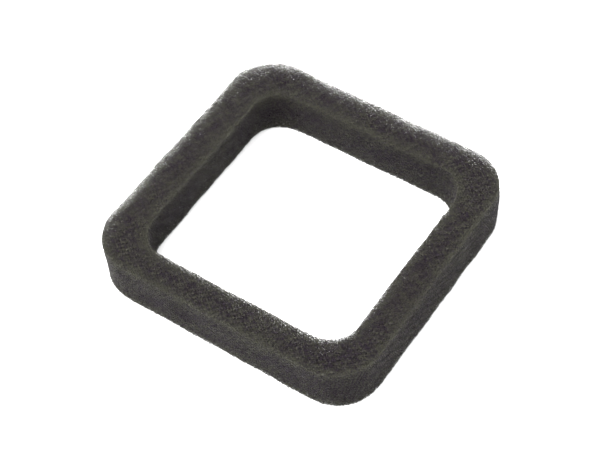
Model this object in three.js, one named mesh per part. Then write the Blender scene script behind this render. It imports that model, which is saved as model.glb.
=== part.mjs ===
// Foam air filter element for a small engine: a square ring with rounded corners, cut in one
// piece from a sheet of open-cell foam. Its top and bottom faces are flat and its walls upright.
// Millimetres, +Z up. The origin is in the middle of the bottom face, which the ring rests on.
import * as THREE from 'three';

const OUTER_WIDTH = 90; // along X
const OUTER_DEPTH = 87; // along Y
const SHEET_THICKNESS = 15.5; // along Z, from face to face
const ARM_WIDTH = 10; // from the outer wall to the opening
const OUTER_CORNER_RADIUS = 13.7;
const INNER_CORNER_RADIUS = 9.3;
const SEGMENTS_PER_CORNER = 16;

// Adds a rectangle with rounded corners, centred on the origin, to a path.
function traceRoundedRectangle(path, width, depth, radius) {
  const x = width / 2 - radius;
  const y = depth / 2 - radius;
  const quarter = Math.PI / 2;
  path.moveTo(x + radius, -y);
  path.absarc(x, y, radius, 0, quarter);
  path.absarc(-x, y, radius, quarter, 2 * quarter);
  path.absarc(-x, -y, radius, 2 * quarter, 3 * quarter);
  path.absarc(x, -y, radius, 3 * quarter, 4 * quarter);
  return path;
}

// The outline that the die cuts: the outer edge, with the opening as a hole in it.
function ringOutline() {
  const outline = traceRoundedRectangle(new THREE.Shape(), OUTER_WIDTH, OUTER_DEPTH, OUTER_CORNER_RADIUS);
  const opening = traceRoundedRectangle(
    new THREE.Path(),
    OUTER_WIDTH - 2 * ARM_WIDTH,
    OUTER_DEPTH - 2 * ARM_WIDTH,
    INNER_CORNER_RADIUS,
  );
  outline.holes.push(opening);
  return outline;
}

// The whole element: charcoal foam, dull all over.
function foamElement() {
  const geometry = new THREE.ExtrudeGeometry(ringOutline(), {
    depth: SHEET_THICKNESS,
    bevelEnabled: false,
    curveSegments: SEGMENTS_PER_CORNER,
  });
  const material = new THREE.MeshStandardMaterial({ color: 0x45423f, roughness: 0.95, metalness: 0 });
  const mesh = new THREE.Mesh(geometry, material);
  mesh.name = 'foam_element';
  return mesh;
}

const filter = new THREE.Group();
filter.add(foamElement());

export default filter;
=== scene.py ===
"""Foam air-filter element: a flat rectangular ring of open-cell foam with rounded corners.

The foam is built as what it is, a net of thin struts. Pores sit on a shaken body-centred lattice.
The places where four pores meet are the joints of the net, and two joints that share three pores
are joined by a strut. The net is cut flush where it meets the faces of the ring, as a knife leaves it.
A fine net fills the outer layer that can be seen into, and a coarser one fills the hidden middle.
"""

import itertools
import math

import bpy
import numpy as np
from mathutils import Matrix, Vector


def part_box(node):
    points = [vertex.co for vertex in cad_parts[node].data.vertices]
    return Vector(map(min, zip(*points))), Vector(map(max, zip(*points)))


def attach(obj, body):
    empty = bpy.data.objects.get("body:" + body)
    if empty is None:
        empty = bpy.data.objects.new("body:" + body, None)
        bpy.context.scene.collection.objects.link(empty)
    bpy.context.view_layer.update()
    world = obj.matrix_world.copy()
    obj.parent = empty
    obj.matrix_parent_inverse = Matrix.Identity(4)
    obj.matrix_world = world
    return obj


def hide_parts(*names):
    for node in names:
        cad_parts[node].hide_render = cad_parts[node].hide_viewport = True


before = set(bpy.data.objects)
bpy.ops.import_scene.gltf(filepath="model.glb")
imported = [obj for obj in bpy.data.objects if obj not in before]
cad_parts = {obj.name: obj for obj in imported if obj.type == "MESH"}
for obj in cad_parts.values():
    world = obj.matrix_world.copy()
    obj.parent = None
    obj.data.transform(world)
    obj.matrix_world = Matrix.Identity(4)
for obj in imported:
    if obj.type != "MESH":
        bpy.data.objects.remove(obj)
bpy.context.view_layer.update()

# Lengths are in millimetres. Meshes and places are scaled to metres by MM as they are made.
MM = 0.001
NODE = "foam_element"
SEED = 7

# The net of struts
PORE_LATTICE = 0.85  # side of one lattice cell, which holds two pores
SKIN_DEPTH = 0.60  # how deep the fine net goes
EDGE_SKIN_DEPTH = 2.2  # the same at the top edges, where light shines through
EDGE_REACH = 2.7  # how far the top edges' own depth and thickness of strut reach from them
CORE_LATTICE = 1.9  # side of a lattice cell of the coarse net in the hidden middle
CORE_OVERLAP = 0.3  # how far the coarse net reaches into the fine one
JOINT_RADIUS = 0.032  # from the middle of a joint to its corners, deep in the foam
CORE_JOINT_RADIUS = 0.09  # the same in the coarse net
SURFACE_SWELL = 3.6  # how much thicker the struts are at the surface, as a share
SWELL_DEPTH = 0.4  # the depth at which that has fallen to about a third
EDGE_THINNING = 0.12  # how much thinner they are at the top edges, which lets light through, as a share
MIDDLE_SWELL = 3.0  # how much thicker they are in the middle of the foam, which blocks the light
MIDDLE_DEPTHS = (2.4, 3.6)  # the depths where that begins and where it is complete
JOINT_RADIUS_SPREAD = 0.15  # how much it differs from joint to joint, as a share
LATTICE_TURN = (1.03, 0.60, 1.42)  # keeps the rows of pores off the lines of sight
JITTER = 0.18  # how far a pore may sit from its lattice place, in cells, along each axis
LONG_DRIFT = 0.3  # how far the lattice drifts in slow waves, in cells
SHORT_DRIFT = 0.10
LONG_DRIFT_LENGTH = 30  # length of those waves, in cells
SHORT_DRIFT_LENGTH = 11
BOX_MARGIN = 2  # how far past the ring's box the grid of lattice places goes, in cells
SPARE_PLACES = 8  # and how many places more, in all
LATTICE_MARGIN = 2.4  # how far outside the foam the lattice is laid, in cells
PORE_MARGIN = 1.7  # how far outside the foam its pores are kept once they have moved
WIDEST_SPHERE = 0.9  # radius of the widest empty sphere between four pores, in cells
ROUNDING = 1e-9
RELAX_ROUNDS = 4  # how often the joints settle between their neighbours
RELAX_SHARE = 0.5  # and how much of the way they go each time
SHORTEST_CUT = 0.05  # a cut strut keeps at least this share of its length

# How the opening differs from the CAD's at its top and at its bottom, and how wavy the cut walls are
OPENING_TOP = dict(shift=(0.88, -0.45), grow=(-0.61, -0.02), radius=-0.64, turn=0.0)
OPENING_BOTTOM = dict(shift=(-0.24, 0.14), grow=(-0.46, -0.25), radius=0.75, turn=0.008)
WALL_WAVES = ((14.0, 0.10), (4.5, 0.03), (1.3, 0.025))  # wavelength, rough height

# Which corners of the CAD solid belong to the opening, and which lie on a side
OPENING_REACH = 0.9
ON_SIDE = 0.01

# The ring is made in parts, so that no mesh is too big to export
CORNER_BLOCK = 12.8  # side of each corner part
PARTS_PER_ARM = 6

SHELLS = {(1, 1, 1), (0, 0, 2), (0, 2, 2), (1, 1, 3)}  # half-cell steps between pores that can touch
OUTWARD = np.array([[1, 2, 3], [0, 3, 2], [0, 1, 3], [0, 2, 1]])  # corners of each face of a joint

WAVE_COUNT = 14  # plane waves in one smooth noise
WAVE_RATES = (0.7, 1.4)  # slowest and fastest of them, against the wavelength asked for


class Waves:
    """Smooth noise: a sum of plane waves with random directions."""

    def __init__(self, rng, wavelength, channels=1):
        directions = rng.normal(size=(WAVE_COUNT, 3))
        directions /= np.linalg.norm(directions, axis=1)[:, None]
        rates = 2 * np.pi / wavelength * rng.uniform(*WAVE_RATES, (WAVE_COUNT, 1))
        self.rates = (directions * rates).T
        self.phases = rng.uniform(0, 2 * np.pi, (channels, WAVE_COUNT))
        self.gain = math.sqrt(2 / WAVE_COUNT)

    def __call__(self, points):
        angle = points @ self.rates
        sums = [np.cos(angle + phase).sum(axis=1) for phase in self.phases]
        return self.gain * np.stack(sums, axis=1)


def rounded_rectangle(x, y, half_x, half_y, radius):
    """Distance outside a rounded rectangle, negative inside it."""
    over_x = np.abs(x) - half_x + radius
    over_y = np.abs(y) - half_y + radius
    outside = np.hypot(np.maximum(over_x, 0), np.maximum(over_y, 0))
    inside = np.minimum(np.maximum(over_x, over_y), 0)
    return outside + inside - radius


class Ring:
    """The solid the foam was cut to, measured from the CAD node."""

    def __init__(self, rng):
        low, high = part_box(NODE)
        self.low = np.array(low) / MM
        self.high = np.array(high) / MM
        corners = np.array([v.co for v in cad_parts[NODE].data.vertices]) / MM
        self.height = self.high[2] - self.low[2]
        self.half = (self.high[:2] - self.low[:2]) / 2
        self.radius = self.corner_radius(corners, self.half)
        reach = np.max(np.abs(corners[:, :2]) / self.half, axis=1)
        opening = corners[reach < OPENING_REACH]
        self.opening_half = np.abs(opening[:, :2]).max(axis=0)
        self.opening_radius = self.corner_radius(opening, self.opening_half)
        self.waves = [(Waves(rng, length), height) for length, height in WALL_WAVES]

    @staticmethod
    def corner_radius(corners, half):
        """Radius of an outline's rounded corners, from where its straight sides stop."""
        on_side = np.abs(corners[:, 1]) > half[1] - ON_SIDE
        return half[0] - np.abs(corners[on_side, 0]).max()

    def opening(self, points):
        """Distance outside the opening, which leans a little between its top and its bottom."""
        x, y, z = points.T
        up = np.clip((z - self.low[2]) / self.height, 0, 1)

        def between(key, index=None):
            bottom, top = OPENING_BOTTOM[key], OPENING_TOP[key]
            if index is not None:
                bottom, top = bottom[index], top[index]
            return bottom + (top - bottom) * up

        x = x - between("shift", 0)
        y = y - between("shift", 1)
        turn = between("turn")
        x, y = x + turn * y, y - turn * x
        half_x = self.opening_half[0] + between("grow", 0)
        half_y = self.opening_half[1] + between("grow", 1)
        return rounded_rectangle(x, y, half_x, half_y, self.opening_radius + between("radius"))

    def walls(self, points):
        """Distance outside the upright walls."""
        x, y = points[:, 0], points[:, 1]
        outer = rounded_rectangle(x, y, self.half[0], self.half[1], self.radius)
        walls = np.maximum(outer, -self.opening(points))
        for waves, height in self.waves:
            walls = walls + height * waves(points)[:, 0]
        return walls

    def flats(self, points):
        """Distance above the top or below the bottom."""
        middle = (self.low[2] + self.high[2]) / 2
        return np.abs(points[:, 2] - middle) - self.height / 2

    def depth(self, points):
        """Distance outside the ring, negative in the foam."""
        return np.maximum(self.walls(points), self.flats(points))

    def edge_distance(self, points):
        """Distance from the nearest edge between a wall and the top or bottom."""
        return np.hypot(self.walls(points), self.flats(points))

    def at_top_edge(self, points):
        """1 at the edges between the walls and the top, falling to 0 away from them."""
        distance = np.hypot(self.walls(points), self.high[2] - points[:, 2])
        return np.exp(-((distance / EDGE_REACH) ** 2))

    def depth_in_core(self, points):
        """Distance outside the middle that lies under the fine net."""
        skin = SKIN_DEPTH + (EDGE_SKIN_DEPTH - SKIN_DEPTH) * self.at_top_edge(points)
        return self.depth(points) + skin


def neighbour_steps():
    """Lattice steps from a pore to every pore that may touch it, nearest first."""
    every = itertools.product(range(-3, 4), repeat=3)
    steps = [step for step in every if tuple(sorted(map(abs, step))) in SHELLS]
    return sorted(steps, key=lambda step: sum(s * s for s in step))


def touching_triples(steps):
    """Triples of later neighbours of a pore that are also neighbours of each other."""
    known = set(steps)
    later = [step for step in steps if step > (0, 0, 0)]

    def touch(a, b):
        return tuple(q - p for p, q in zip(a, b)) in known

    return [
        (a, b, c)
        for a, b, c in itertools.combinations(later, 3)
        if touch(a, b) and touch(b, c) and touch(a, c)
    ]


def rotation(about_x, about_y, about_z):
    turn_x = Matrix.Rotation(about_x, 3, "X")
    turn_y = Matrix.Rotation(about_y, 3, "Y")
    turn_z = Matrix.Rotation(about_z, 3, "Z")
    return np.array(turn_z @ turn_y @ turn_x)


def pore_centres(depth, low, high, cell, rng):
    """Pores in and near the foam, their lattice places, and a grid that finds a pore by its place."""
    turn = rotation(*LATTICE_TURN)
    middle = (low + high) / 2
    half = (high - low) / 2 + BOX_MARGIN * cell
    count = 2 * np.ceil(np.abs(turn) @ half / (cell / 2)).astype(int) + SPARE_PLACES
    i, j, k = np.indices(count, np.int16)
    place = np.argwhere(((i ^ j) & 1 == 0) & ((j ^ k) & 1 == 0))
    points = (place - count / 2) * (cell / 2) @ turn + middle
    near = depth(points) < LATTICE_MARGIN * cell
    place, points = place[near], points[near]
    long_drift = Waves(rng, LONG_DRIFT_LENGTH * cell, 3)(points)
    short_drift = Waves(rng, SHORT_DRIFT_LENGTH * cell, 3)(points)
    points = points + cell * (LONG_DRIFT * long_drift + SHORT_DRIFT * short_drift)
    points = points + rng.uniform(-JITTER, JITTER, points.shape) * cell
    kept = depth(points) < PORE_MARGIN * cell
    place, points = place[kept], points[kept]
    grid = np.full(count, -1, np.int32)
    grid[tuple(place.T)] = np.arange(len(place))
    return points, place, grid


def neighbours(place, grid, steps):
    """Number of the pore one step away from each pore, or -1."""
    found = np.full((len(place), len(steps)), -1, np.int32)
    for column, step in enumerate(steps):
        there = place + np.array(step)
        inside = ((there >= 0) & (there < grid.shape)).all(axis=1)
        found[inside, column] = grid[tuple(there[inside].T)]
    return found


def joints_of(points, place, grid, widest):
    """Every four pores with an empty sphere through them: their numbers and the sphere's centre."""
    steps = neighbour_steps()
    column = {step: n for n, step in enumerate(steps)}
    near = neighbours(place, grid, steps)
    fours, centres = [], []
    for triple in touching_triples(steps):
        three = near[:, [column[step] for step in triple]]
        first = np.flatnonzero((three >= 0).all(axis=1))
        three = three[first]
        sides = points[three] - points[first][:, None]
        squares = (sides * sides).sum(axis=2)
        a, b, c = sides[:, 0], sides[:, 1], sides[:, 2]
        bc = np.cross(b, c)
        volume = (a * bc).sum(axis=1)
        weighted = squares[:, :1] * bc + squares[:, 1:2] * np.cross(c, a)
        weighted = weighted + squares[:, 2:] * np.cross(a, b)
        with np.errstate(divide="ignore", invalid="ignore"):
            centre = weighted / (2 * volume[:, None])
        reach = (centre * centre).sum(axis=1)
        small = reach < widest**2
        found = first, three, centre, reach, volume
        first, three, centre, reach, volume = (values[small] for values in found)
        # A sphere with another pore inside it isn't empty, so its four pores don't meet
        for n in range(len(steps)):
            other = near[first, n]
            gap = points[other] - points[first] - centre
            closer = (gap * gap).sum(axis=1) < reach * (1 - ROUNDING)
            closer &= (other >= 0) & (other[:, None] != three).all(axis=1)
            if closer.any():
                found = first, three, centre, reach, volume
                first, three, centre, reach, volume = (values[~closer] for values in found)
        if len(first):
            four = np.column_stack([first, three])
            inverted = volume < 0
            four[inverted] = four[inverted][:, [0, 1, 3, 2]]
            fours.append(four)
            centres.append(centre + points[first])
    return np.vstack(fours), np.vstack(centres)


def struts_of(fours, pore_count):
    """Pairs of joints that share three pores: joint, its face, the other joint, its face."""
    faces = np.sort(fours[:, OUTWARD], axis=2).astype(np.int64).reshape(-1, 3)
    key = (faces[:, 0] * pore_count + faces[:, 1]) * pore_count + faces[:, 2]
    order = np.argsort(key, kind="stable")
    twin = np.flatnonzero(key[order][1:] == key[order][:-1])
    one, other = order[twin], order[twin + 1]
    return one // 4, one % 4, other // 4, other % 4


def relaxed(joints, across):
    """Joints pulled towards the middle of their four neighbours, as surface tension does in a foam."""
    whole = (across >= 0).all(axis=1)
    for _ in range(RELAX_ROUNDS):
        middle = joints[across[whole]].mean(axis=1)
        joints = joints.copy()
        joints[whole] += RELAX_SHARE * (middle - joints[whole])
    return joints


def main_net(count, one, other):
    """Which joints hang together with the biggest net."""
    label = np.arange(count)
    while True:
        lowest = np.minimum(label[one], label[other])
        new = label.copy()
        np.minimum.at(new, label[one], lowest)
        np.minimum.at(new, label[other], lowest)
        new = new[new]
        if (new == label).all():
            break
        label = new
    return label == np.bincount(label[one]).argmax()


class Net:
    """The struts that fill a region, with the corners of their joints and of their cut ends.

    A joint has four corners and four faces, and a strut runs from a face of one joint to a face of
    another. A strut that leaves the region starts at the joint inside it and ends at the cut.
    """

    def __init__(self, depth, ring, cell, joint_radius, rng):
        pores, place, grid = pore_centres(depth, ring.low, ring.high, cell, rng)
        fours, joints = joints_of(pores, place, grid, WIDEST_SPHERE * cell)
        one, one_face, other, other_face = struts_of(fours, len(pores))
        across = np.full((len(fours), 4), -1)  # the joint at the far end of each face's strut
        across[one, one_face] = other
        across[other, other_face] = one
        joints = relaxed(joints, across)
        inside = depth(joints) < 0
        # A strut that leaves the region is turned round if need be, to start inside it
        swap = ~inside[one] & inside[other]
        one[swap], other[swap] = other[swap], one[swap]
        one_face[swap], other_face[swap] = other_face[swap], one_face[swap]
        # Loose bits that don't hang together with the rest are left out
        both = inside[one] & inside[other]
        inside &= main_net(len(joints), one[both], other[both])
        self.joints = joints
        self.inside = inside
        kept = inside[one]
        self.one, self.one_face = one[kept], one_face[kept]
        self.other, self.other_face = other[kept], other_face[kept]
        self.whole = inside[self.other]
        self.corners = self.joint_corners(pores, fours, across, joint_radius, ring, rng)
        self.match_corners(fours)
        self.cut_ends(depth, ring)

    def joint_corners(self, pores, fours, across, joint_radius, ring, rng):
        """Each joint is a small tetrahedron whose corners point away from its struts."""
        joints = self.joints
        away = joints[:, None] - joints[across]
        missing = across < 0
        away[missing] = (pores[fours] - joints[:, None])[missing]
        away /= np.linalg.norm(away, axis=2, keepdims=True) + 1e-9
        spread = rng.uniform(1 - JOINT_RADIUS_SPREAD, 1 + JOINT_RADIUS_SPREAD, len(joints))
        depth = np.maximum(-ring.depth(joints), 0)
        swell = 1 + SURFACE_SWELL * np.exp(-depth / SWELL_DEPTH)
        swell *= 1 - EDGE_THINNING * ring.at_top_edge(joints)
        swell += MIDDLE_SWELL * np.interp(depth, MIDDLE_DEPTHS, (0, 1))
        radius = joint_radius * spread * swell
        corners = joints[:, None] + radius[:, None, None] * away
        height = corners[:, :, 2]
        held = np.clip(height, ring.low[2], ring.high[2])
        corners[:, :, 2] = np.where(self.inside[:, None], held, height)
        return corners

    def match_corners(self, fours):
        """Corner numbers at the two ends of each strut, in the same order round it."""
        self.start = 4 * self.one[:, None] + OUTWARD[self.one_face]
        wanted = fours[self.one[:, None], OUTWARD[self.one_face]]
        slot = (fours[self.other][:, None] == wanted[:, :, None]).argmax(axis=2)
        self.end = 4 * self.other[:, None] + slot

    def cut_ends(self, depth, ring):
        """Where each strut that leaves the foam is cut through."""
        flat = self.corners.reshape(-1, 3)
        begin, finish = flat[self.start[~self.whole]], flat[self.end[~self.whole]]
        depth_begin = depth(begin.reshape(-1, 3)).reshape(-1, 3)
        depth_finish = depth(finish.reshape(-1, 3)).reshape(-1, 3)
        with np.errstate(divide="ignore", invalid="ignore"):
            share = depth_begin / (depth_begin - depth_finish)
        share = np.where(depth_begin >= 0, SHORTEST_CUT, np.where(depth_finish <= 0, 1, share))
        share = np.clip(share, SHORTEST_CUT, 1)
        cut = begin + share[:, :, None] * (finish - begin)
        cut[:, :, 2] = np.clip(cut[:, :, 2], ring.low[2], ring.high[2])
        self.cut = cut


def part_names():
    """Names of the ring's parts: four corners and the arms between them."""
    corners = ["front_left", "front_right", "back_right", "back_left"]
    arms = ["front", "right", "back", "left"]
    names = [f"foam_corner_{corner}" for corner in corners]
    return names + [f"foam_{arm}_{n + 1}" for arm in arms for n in range(PARTS_PER_ARM)]


def part_of(points, ring):
    """Which part of the ring each point belongs to, as a place in part_names()."""
    x, y = points[:, 0], points[:, 1]
    straight = ring.half - CORNER_BLOCK
    at_side = np.abs(x) > straight[0]
    at_end = np.abs(y) > straight[1]
    corner = np.where(y < 0, np.where(x < 0, 0, 1), np.where(x > 0, 2, 3))
    across_x = np.clip((x / straight[0] + 1) / 2 * PARTS_PER_ARM, 0, PARTS_PER_ARM - 0.5).astype(int)
    across_y = np.clip((y / straight[1] + 1) / 2 * PARTS_PER_ARM, 0, PARTS_PER_ARM - 0.5).astype(int)
    along_x = np.where(y < 0, 0, 2) * PARTS_PER_ARM + across_x
    along_y = np.where(x > 0, 1, 3) * PARTS_PER_ARM + across_y
    arm = np.where(at_end, along_x, along_y)
    return np.where(at_side & at_end, corner, 4 + arm)


def strut_sides(start, end):
    """Six triangles for each strut, two on each of its three sides."""
    sides = []
    for k in range(3):
        n = (k + 1) % 3
        sides.append(np.column_stack([start[:, k], start[:, n], end[:, n]]))
        sides.append(np.column_stack([start[:, k], end[:, n], end[:, k]]))
    return np.vstack(sides)


def faces_without_struts(net, own, mine, here):
    """The faces of one part's joints that none of its struts covers: joint, face."""
    used = np.zeros((len(own), 4), bool)
    used[net.one[mine], net.one_face[mine]] = True
    used[net.other[here], net.other_face[here]] = True
    return np.nonzero(own[:, None] & ~used)


def part_mesh(net, part, number, tone):
    """Vertices, triangles and tones of one part of a net, which is a closed surface.

    A part owns its joints and the struts that start at them. Its struts end at a joint of its own
    (here), at a joint of the next part (leaving) or at the cut.
    """
    own = net.inside & (part == number)
    local = np.full(len(own), -1)
    local[own] = np.arange(own.sum())
    vertices = [net.corners[own].reshape(-1, 3)]
    count = 4 * own.sum()
    mine = own[net.one]
    here = mine & net.whole & own[net.other]
    leaving = mine & net.whole & ~own[net.other]
    cut = mine & ~net.whole

    def renumber(corner):
        return 4 * local[corner // 4] + corner % 4

    start = renumber(net.start[mine])
    end = np.empty_like(start)
    end[here[mine]] = renumber(net.end[here])
    ends = [
        (leaving, net.corners.reshape(-1, 3)[net.end[leaving]]),
        (cut, net.cut[cut[~net.whole]]),
    ]
    for which, points in ends:
        size = points.shape[0] * 3
        end[which[mine]] = count + np.arange(size).reshape(-1, 3)
        vertices.append(points.reshape(-1, 3))
        count += size
    capped = ~here[mine]
    joint, face = faces_without_struts(net, own, mine, here)
    closed = renumber(4 * joint[:, None] + OUTWARD[face])
    triangles = np.vstack([strut_sides(start, end), end[capped], closed])
    strut_tone = tone[net.one[mine]]
    tones = np.concatenate([np.tile(strut_tone, 6), strut_tone[capped], tone[joint]])
    return np.vstack(vertices), triangles, tones


def mesh_object(name, vertices, triangles, tones, materials):
    """A Blender object of triangles, whose tones pick their materials."""
    mesh = bpy.data.meshes.new(name)
    mesh.vertices.add(len(vertices))
    mesh.vertices.foreach_set("co", (vertices * MM).astype(np.float32).ravel())
    mesh.loops.add(3 * len(triangles))
    mesh.loops.foreach_set("vertex_index", triangles.astype(np.int32).ravel())
    mesh.polygons.add(len(triangles))
    mesh.polygons.foreach_set("loop_start", np.arange(0, 3 * len(triangles), 3, dtype=np.int32))
    for material in materials:
        mesh.materials.append(material)
    mesh.polygons.foreach_set("material_index", tones.astype(np.int32))
    mesh.update(calc_edges=True)
    mesh.shade_smooth()
    made = bpy.data.objects.new(name, mesh)
    bpy.context.collection.objects.link(made)
    return made


# Colours of the foam, linear. The net turns from one tone to the next in soft patches, purplish where
# it is dark and olive where it is light. Its cut edges are painted lighter still: painted light that
# stands in for light shining through the thin edges.
DARKEST_TONE = (0.0086, 0.0028, 0.0106)
LIGHTEST_TONE = (0.0405, 0.0400, 0.0275)
TONE_COUNT = 10
MIDDLE_TONE = 3.0  # the usual tone away from the edges
TONE_PATCHES = ((26.0, 0.4), (5.0, 0.6), (1.0, 3.2))  # wavelength, strength in tones
TONE_GRAIN = 0.8  # and how much it changes from joint to joint
EDGE_PAINTED_LIGHT_TONES = 7.2  # how many tones lighter the cut edges are painted, as painted light for light shining through them
EDGE_PAINTED_LIGHT_WIDTH = 1.9  # the distance at which that has fallen to about a third
ROUGHNESS = 0.3
SHEEN_LEVELS = (0.1, 0.4)  # lowest and highest specular level
SHEEN_NOISE_SCALE = 900.0
SHEEN_NOISE_DETAIL = 3.0


def foam_material(number):
    """One tone of the foam; its sheen changes from strut to strut."""
    material = bpy.data.materials.new(f"foam_tone_{number + 1}")
    material.use_nodes = True
    nodes, links = material.node_tree.nodes, material.node_tree.links
    shader = nodes["Principled BSDF"]
    share = number / (TONE_COUNT - 1)
    colour = [dark + (light - dark) * share for dark, light in zip(DARKEST_TONE, LIGHTEST_TONE)]
    shader.inputs["Base Color"].default_value = (*colour, 1)
    shader.inputs["Roughness"].default_value = ROUGHNESS
    place = nodes.new("ShaderNodeTexCoord")
    noise = nodes.new("ShaderNodeTexNoise")
    noise.inputs["Scale"].default_value = SHEEN_NOISE_SCALE
    noise.inputs["Detail"].default_value = SHEEN_NOISE_DETAIL
    level = nodes.new("ShaderNodeMapRange")
    level.inputs["To Min"].default_value = SHEEN_LEVELS[0]
    level.inputs["To Max"].default_value = SHEEN_LEVELS[1]
    links.new(place.outputs["Object"], noise.inputs["Vector"])
    links.new(noise.outputs["Fac"], level.inputs["Value"])
    links.new(level.outputs["Result"], shader.inputs["Specular IOR Level"])
    return material


FLOOR_SIZE = 4000.0
FLOOR_GAP = 0.1  # how far it is below the foam
FLOOR_TONES = (0.88, 0.90)  # darkest and lightest grey
FLOOR_NOISE_SCALE = 4.0
FLOOR_ROUGHNESS = 0.9


def floor_material():
    """Pale matt paper."""
    material = bpy.data.materials.new("studio_floor")
    material.use_nodes = True
    nodes, links = material.node_tree.nodes, material.node_tree.links
    shader = nodes["Principled BSDF"]
    shader.inputs["Roughness"].default_value = FLOOR_ROUGHNESS
    noise = nodes.new("ShaderNodeTexNoise")
    noise.inputs["Scale"].default_value = FLOOR_NOISE_SCALE
    ramp = nodes.new("ShaderNodeValToRGB")
    for stop, tone in zip(ramp.color_ramp.elements, FLOOR_TONES):
        stop.color = (tone, tone, tone, 1)
    links.new(noise.outputs["Fac"], ramp.inputs["Fac"])
    links.new(ramp.outputs["Color"], shader.inputs["Base Color"])
    return material


def foam_tones(points, ring, rng):
    """A tone number for each joint: soft noise, and painted lighter near the cut edges as painted light.
    """
    # The lighter tones near the cut edges are painted light, for light shining through the thin edges.
    tone = MIDDLE_TONE + EDGE_PAINTED_LIGHT_TONES * np.exp(-ring.edge_distance(points) / EDGE_PAINTED_LIGHT_WIDTH)
    for length, strength in TONE_PATCHES:
        tone = tone + strength * Waves(rng, length)(points)[:, 0]
    tone = tone + TONE_GRAIN * rng.normal(size=len(points))
    return np.clip(np.rint(tone), 0, TONE_COUNT - 1).astype(int)


def build_foam():
    """The whole ring, as a list of its parts."""
    rng = np.random.default_rng(SEED)
    ring = Ring(rng)
    materials = [foam_material(number) for number in range(TONE_COUNT)]

    def skin(points):
        return np.maximum(ring.depth(points), -ring.depth_in_core(points))

    def core(points):
        return ring.depth_in_core(points) - CORE_OVERLAP

    fine = Net(skin, ring, PORE_LATTICE, JOINT_RADIUS, rng)
    coarse = Net(core, ring, CORE_LATTICE, CORE_JOINT_RADIUS, rng)
    nets = [(net, part_of(net.joints, ring), foam_tones(net.joints, ring, rng)) for net in (fine, coarse)]
    pieces = []
    for number, name in enumerate(part_names()):
        vertices, triangles, tones = [], [], []
        count = 0
        for net, part, tone in nets:
            net_vertices, net_triangles, net_tones = part_mesh(net, part, number, tone)
            vertices.append(net_vertices)
            triangles.append(net_triangles + count)
            tones.append(net_tones)
            count += len(net_vertices)
        mesh = np.vstack(vertices), np.vstack(triangles), np.concatenate(tones)
        pieces.append(mesh_object(name, *mesh, materials))
    return pieces


# The camera, in degrees and millimetres
CAMERA_AZIMUTH = 38.4
CAMERA_ELEVATION = 52.9
CAMERA_ROLL = -5.35
CAMERA_DISTANCE = 480.0
CAMERA_TARGET = (-4.14, 3.94, 0.0)
CAMERA_LENS = 98.6


def make_camera():
    """A camera that sees the ring from the photograph's angle."""
    azimuth, elevation, roll = map(math.radians, (CAMERA_AZIMUTH, CAMERA_ELEVATION, CAMERA_ROLL))
    back = Vector(
        (
            math.sin(azimuth) * math.cos(elevation),
            -math.cos(azimuth) * math.cos(elevation),
            math.sin(elevation),
        )
    )
    right = (-back).cross(Vector((0, 0, 1))).normalized()
    up = right.cross(-back)
    rolled_right = math.cos(roll) * right + math.sin(roll) * up
    rolled_up = math.cos(roll) * up - math.sin(roll) * right
    place = (Vector(CAMERA_TARGET) + CAMERA_DISTANCE * back) * MM
    data = bpy.data.cameras.new("camera")
    data.lens = CAMERA_LENS
    camera = bpy.data.objects.new("camera", data)
    turn = Matrix((rolled_right, rolled_up, back)).transposed().to_4x4()
    camera.matrix_world = Matrix.Translation(place) @ turn
    bpy.context.collection.objects.link(camera)
    bpy.context.scene.camera = camera


def make_floor():
    half = FLOOR_SIZE / 2 * MM
    mesh = bpy.data.meshes.new("floor")
    corners = [(-half, -half, 0), (half, -half, 0), (half, half, 0), (-half, half, 0)]
    mesh.from_pydata(corners, [], [(0, 1, 2, 3)])
    mesh.materials.append(floor_material())
    floor = bpy.data.objects.new("floor", mesh)
    floor.location.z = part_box(NODE)[0][2] - FLOOR_GAP * MM
    bpy.context.collection.objects.link(floor)


WORLD_STRENGTH = 1.6
OVERHEAD_POWER = 46.0  # watts
OVERHEAD_SIZE = 1200.0
OVERHEAD_PLACE = (-280.0, -250.0, 1200.0)


def make_lights():
    """An even white studio and one wide soft light overhead."""
    world = bpy.data.worlds.new("studio")
    world.use_nodes = True
    background = world.node_tree.nodes["Background"]
    background.inputs["Color"].default_value = (1, 1, 1, 1)
    background.inputs["Strength"].default_value = WORLD_STRENGTH
    bpy.context.scene.world = world
    data = bpy.data.lights.new("overhead", "AREA")
    data.size = OVERHEAD_SIZE * MM
    data.energy = OVERHEAD_POWER
    light = bpy.data.objects.new("overhead", data)
    light.location = Vector(OVERHEAD_PLACE) * MM
    light.rotation_euler = (-light.location).to_track_quat("-Z", "Y").to_euler()
    bpy.context.collection.objects.link(light)


def declare(pieces):
    """The parts of the ring move with the one body; the CAD node they are made from is hidden."""
    for piece in pieces:
        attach(piece, "root")
        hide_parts(NODE)


bpy.context.scene.view_settings.view_transform = "Standard"
make_camera()
make_floor()
make_lights()
declare(build_foam())
